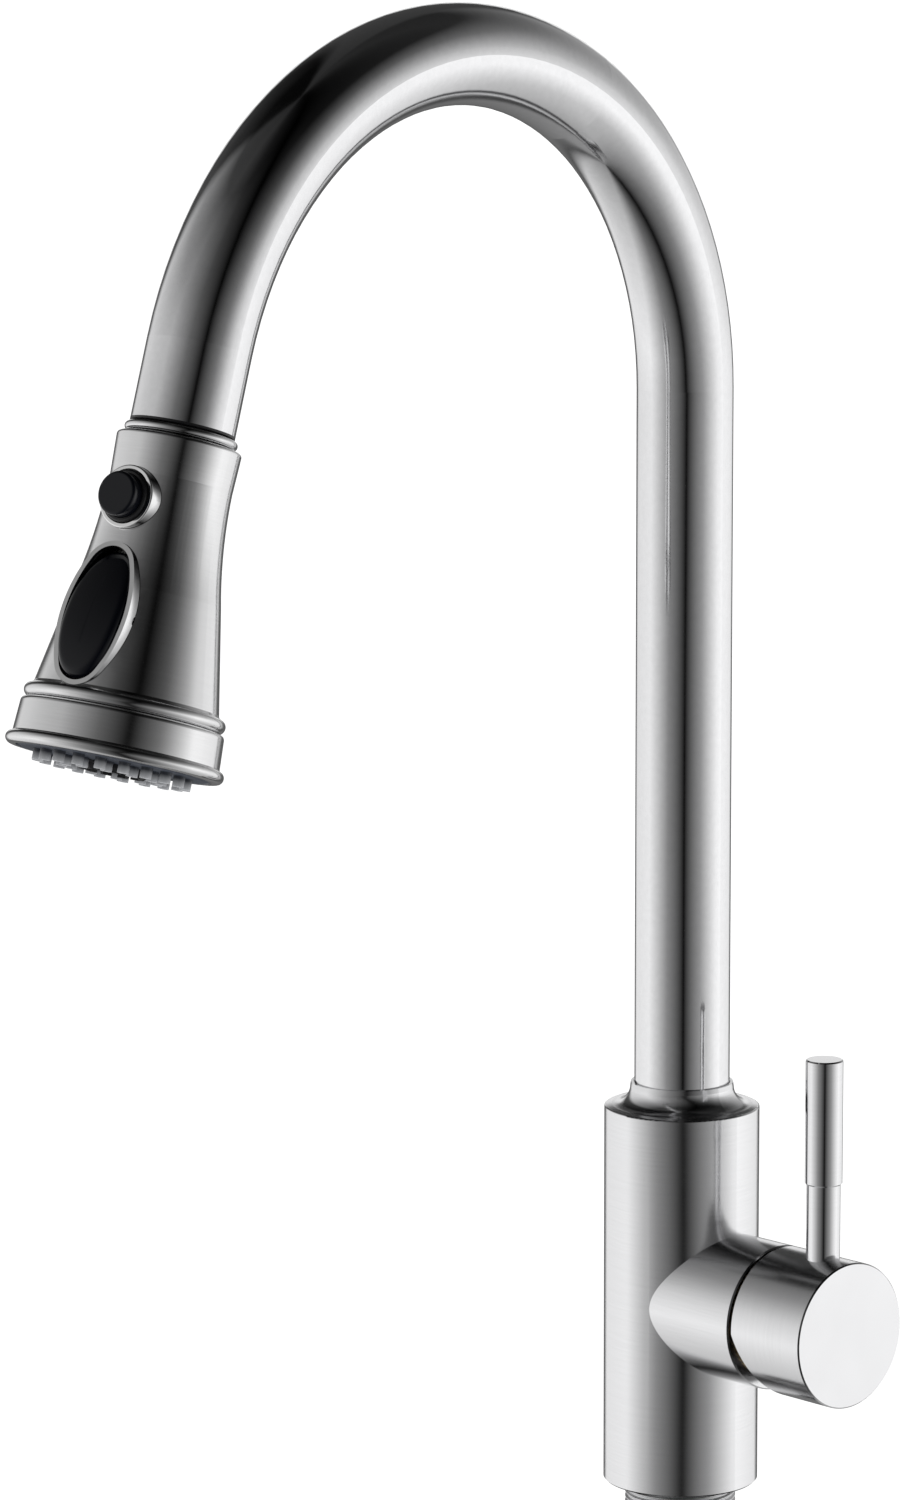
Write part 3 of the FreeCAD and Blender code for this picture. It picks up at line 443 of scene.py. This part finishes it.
HOSE_SIDES = 32
STRANDS = 10
hose_radius = (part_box("hose_in_body")[1].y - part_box("hose_in_body")[0].y) / 2
strand_pitch = WHOLE_TURN * hose_radius / STRANDS


def braided_hose(name, centres, runs, hidden):
    """A hose along a line of centres; runs are the braid's own lengths there."""
    mesh = bmesh.new()
    braid = mesh.loops.layers.uv.new("braid")
    rings = []
    side = Vector((0, 1, 0))
    for i, centre in enumerate(centres):
        way = (centres[min(i + 1, len(centres) - 1)] - centres[max(i - 1, 0)]).normalized()
        across = (side - way * side.dot(way)).normalized()
        over = way.cross(across)
        rings.append([
            mesh.verts.new(
                centre
                + across * hose_radius * math.cos(WHOLE_TURN * k / HOSE_SIDES)
                + over * hose_radius * math.sin(WHOLE_TURN * k / HOSE_SIDES)
            )
            for k in range(HOSE_SIDES)
        ])
    for i, (lower, upper) in enumerate(zip(rings, rings[1:])):
        for k in range(HOSE_SIDES):
            after = (k + 1) % HOSE_SIDES
            face = mesh.faces.new((lower[k], lower[after], upper[after], upper[k]))
            corners = ((k, i), (k + 1, i), (k + 1, i + 1), (k, i + 1))
            for loop, (around, step) in zip(face.loops, corners):
                loop[braid].uv = (STRANDS * around / HOSE_SIDES, runs[step] / strand_pitch)
    mesh.faces.new(rings[0])
    mesh.faces.new(reversed(rings[-1]))
    return finish_piece(name, mesh, None, "hose_braid", hidden)


def reach(node_name, origin, way):
    """How far a node's mesh reaches from a point, both ways along a direction."""
    node = nodes[node_name]
    spans = [(node.matrix_world @ vertex.co - origin).dot(way) for vertex in node.data.vertices]
    return min(spans), max(spans)


HOSE_RINGS = 240
STAYS_TO = 0.5 * MM
hose_from, hose_to = reach("hose_pull_end", tube_end, spray_axis)
stretch_from, stretch_to = hose_from + STAYS_TO, hose_to
pulled_centres, pulled_runs = [], []
for i in range(HOSE_RINGS + 1):
    run = hose_from + (hose_to - hose_from) * i / HOSE_RINGS
    share = min(1, max(0, (run - stretch_from) / (stretch_to - stretch_from)))
    pulled_centres.append(tube_end + spray_axis * run)
    pulled_runs.append(run + pull_length * share * share * (3 - 2 * share))
pulled_hose = braided_hose("hose_pulled", pulled_centres, pulled_runs, ["hose_pull_end"])
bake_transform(pulled_hose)

low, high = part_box("hose_in_body")
LOW_BEND = 76 * MM
tail_side = low.x + hose_radius
body_centres = []
for i in range(HOSE_RINGS + 1):
    z = low.z + (high.z - low.z) * i / HOSE_RINGS
    share = min(1, max(0, (z - LOW_BEND) / (high.z - LOW_BEND)))
    body_centres.append(Vector((tail_side * (1 - share * share * (3 - 2 * share)), 0, z)))
body_runs = [centre.z for centre in body_centres]
body_hose = braided_hose("hose_woven", body_centres, body_runs, ["hose_in_body"])
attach(body_hose, "column")

# ---------------------------------------------------------------- floor, light and camera

FLOOR_GAP = 0.5 * MM
FLOOR_SIZE = 30
floor_mesh = bmesh.new()
bmesh.ops.create_grid(floor_mesh, x_segments=1, y_segments=1, size=FLOOR_SIZE)
floor_data = bpy.data.meshes.new("floor")
floor_mesh.to_mesh(floor_data)
floor_mesh.free()
floor = bpy.data.objects.new("floor", floor_data)
floor.location.z = cad_box[0][2] - FLOOR_GAP
bpy.context.scene.collection.objects.link(floor)
floor_paint, tree, shader = new_material("floor_paint")
shader.inputs["Base Color"].default_value = (0.9, 0.9, 0.9, 1)
shader.inputs["Roughness"].default_value = 0.9
shader.inputs["Emission Color"].default_value = (1, 1, 1, 1)
shader.inputs["Emission Strength"].default_value = 1.05
floor_data.materials.append(floor_paint)
floor.visible_glossy = False

VIEW_AZIMUTH = math.radians(47.57)
VIEW_ELEVATION = math.radians(9.08)
VIEW_ROLL = math.radians(-0.11)
VIEW_DISTANCE = 1.6765
AIM_HEIGHT = 0.21843
AIM_SIDE = -0.06778
LENS = 138.3

right = Vector((math.cos(VIEW_AZIMUTH), math.sin(VIEW_AZIMUTH), 0))
to_camera = Vector((math.sin(VIEW_AZIMUTH), -math.cos(VIEW_AZIMUTH), 0))

world = bpy.data.worlds.new("studio")
bpy.context.scene.world = world
world.use_nodes = True
tree = world.node_tree
background = tree.nodes["Background"]
direction = add(tree, "ShaderNodeTexCoord").outputs["Generated"]


def along(tree, vector, way):
    node = add(tree, "ShaderNodeVectorMath", {0: vector}, operation="DOT_PRODUCT")
    node.inputs[1].default_value = way
    return node.outputs["Value"]


def ramp_of(tree, value, low, high, stops):
    """A grey ramp over a range of a value, from (value, grey) stops."""
    spread_out = add(tree, "ShaderNodeMapRange", {"Value": value}, From_Min=low, From_Max=high)
    ramp = add(tree, "ShaderNodeValToRGB", {"Fac": spread_out.outputs["Result"]})
    elements = ramp.color_ramp.elements
    for element, (_, grey) in zip(elements, (stops[0], stops[-1])):
        element.color = (grey, grey, grey, 1)
    for place, grey in stops[1:-1]:
        elements.new((place - low) / (high - low)).color = (grey, grey, grey, 1)
    return ramp.outputs["Color"]


# two big softboxes, fading towards the dark gap in front: degrees right of the camera, brightness
SIDE_LIGHT = [
    (-180, 0.05),
    (-160, 0.1),
    (-150, 0.8),
    (-90, 0.9),
    (-40, 0.25),
    (0, 0.0),
    (40, 0.3),
    (90, 1.0),
    (145, 0.8),
    (155, 0.1),
    (180, 0.05),
]
# how the softboxes fade with degrees above the horizon, on the right, on the left and behind
HEIGHT_RIGHT = [
    (-90, 0.3),
    (-40, 0.6),
    (-15, 1.0),
    (-5, 1.0),
    (10, 0.5),
    (30, 0.15),
    (45, 0.02),
    (90, 0.02),
]
HEIGHT_LEFT = [(-90, 0.3), (-35, 0.8), (-15, 1.0), (10, 0.75), (35, 0.3), (60, 0.05), (90, 0.02)]
HEIGHT_BACK = [(-90, 0.3), (-5, 0.1), (2, 0.8), (12, 0.8), (17, 0.05), (90, 0.02)]
# where the right side's fade holds, and where the paper low behind the faucet shows
SIDE_CHOICE = [(-180, 1.0), (-165, 1.0), (-150, 0.0), (-15, 0.0), (60, 1.0), (180, 1.0)]
BACK_CHOICE = [(-180, 1.0), (-168, 1.0), (-160, 0.0), (160, 0.0), (168, 1.0), (180, 1.0)]
# how far the dark gap between the softboxes leans to the right with height
GAP_LEAN = 0.6
GAP_FROM = -9

across_view = along(tree, direction, right)
towards_view = along(tree, direction, to_camera)
bearing = add(tree, "ShaderNodeMath", {0: across_view, 1: towards_view}, operation="ARCTAN2")
bearing_degrees = add(tree, "ShaderNodeMath", {0: bearing.outputs[0]}, operation="DEGREES")
height = add(tree, "ShaderNodeMath", {0: along(tree, direction, (0, 0, 1))}, operation="ARCSINE")
height_degrees = add(tree, "ShaderNodeMath", {0: height.outputs[0]}, operation="DEGREES")
above_gap = add(tree, "ShaderNodeMath", {0: height_degrees.outputs[0]}, operation="SUBTRACT")
above_gap.inputs[1].default_value = GAP_FROM
only_above = add(tree, "ShaderNodeMath", {0: above_gap.outputs[0]}, operation="MAXIMUM")
only_above.inputs[1].default_value = 0
lean = add(tree, "ShaderNodeMath", {0: only_above.outputs[0]}, operation="MULTIPLY")
lean.inputs[1].default_value = GAP_LEAN
leaning = add(
    tree, "ShaderNodeMath", {0: bearing_degrees.outputs[0], 1: lean.outputs[0]}, operation="SUBTRACT"
)
side_light = ramp_of(tree, leaning.outputs[0], -180, 180, SIDE_LIGHT)
height_left = ramp_of(tree, height_degrees.outputs[0], -90, 90, HEIGHT_LEFT)
height_right = ramp_of(tree, height_degrees.outputs[0], -90, 90, HEIGHT_RIGHT)
choice = ramp_of(tree, bearing_degrees.outputs[0], -180, 180, SIDE_CHOICE)
height_mix = add(tree, "ShaderNodeMix", {0: choice, 6: height_left, 7: height_right}, data_type="RGBA")
height_light = height_mix.outputs[2]
softboxes = add(
    tree, "ShaderNodeMix", {6: side_light, 7: height_light}, data_type="RGBA", blend_type="MULTIPLY"
)
softboxes.inputs[0].default_value = 1.0
back_light = ramp_of(tree, height_degrees.outputs[0], -90, 90, HEIGHT_BACK)
behind = ramp_of(tree, bearing_degrees.outputs[0], -180, 180, BACK_CHOICE)
surround = add(
    tree, "ShaderNodeMix", {0: behind, 6: softboxes.outputs[2], 7: back_light}, data_type="RGBA"
)
tree.links.new(surround.outputs[2], background.inputs["Color"])
background.inputs["Strength"].default_value = 1.1
paper = add(tree, "ShaderNodeBackground", Color=(1, 1, 1, 1), Strength=1.0)
looks = add(tree, "ShaderNodeLightPath").outputs["Is Camera Ray"]
either = add(tree, "ShaderNodeMixShader", {0: looks, 1: background.outputs[0], 2: paper.outputs[0]})
tree.links.new(either.outputs[0], tree.nodes["World Output"].inputs["Surface"])

camera_data = bpy.data.cameras.new("camera")
camera = bpy.data.objects.new("camera", camera_data)
bpy.context.scene.collection.objects.link(camera)
bpy.context.scene.camera = camera
camera_data.sensor_fit = "AUTO"
camera_data.sensor_width = 36
camera_data.lens = LENS
camera_data.clip_end = 50
back = to_camera * math.cos(VIEW_ELEVATION) + Vector((0, 0, math.sin(VIEW_ELEVATION)))
aim = Vector((0, 0, AIM_HEIGHT)) + right * AIM_SIDE
level = Matrix((right, back.cross(right), back)).transposed()
camera.matrix_world = (
    Matrix.Translation(aim + back * VIEW_DISTANCE)
    @ (level @ Matrix.Rotation(VIEW_ROLL, 3, "Z")).to_4x4()
)
bpy.context.scene.view_settings.view_transform = "Standard"
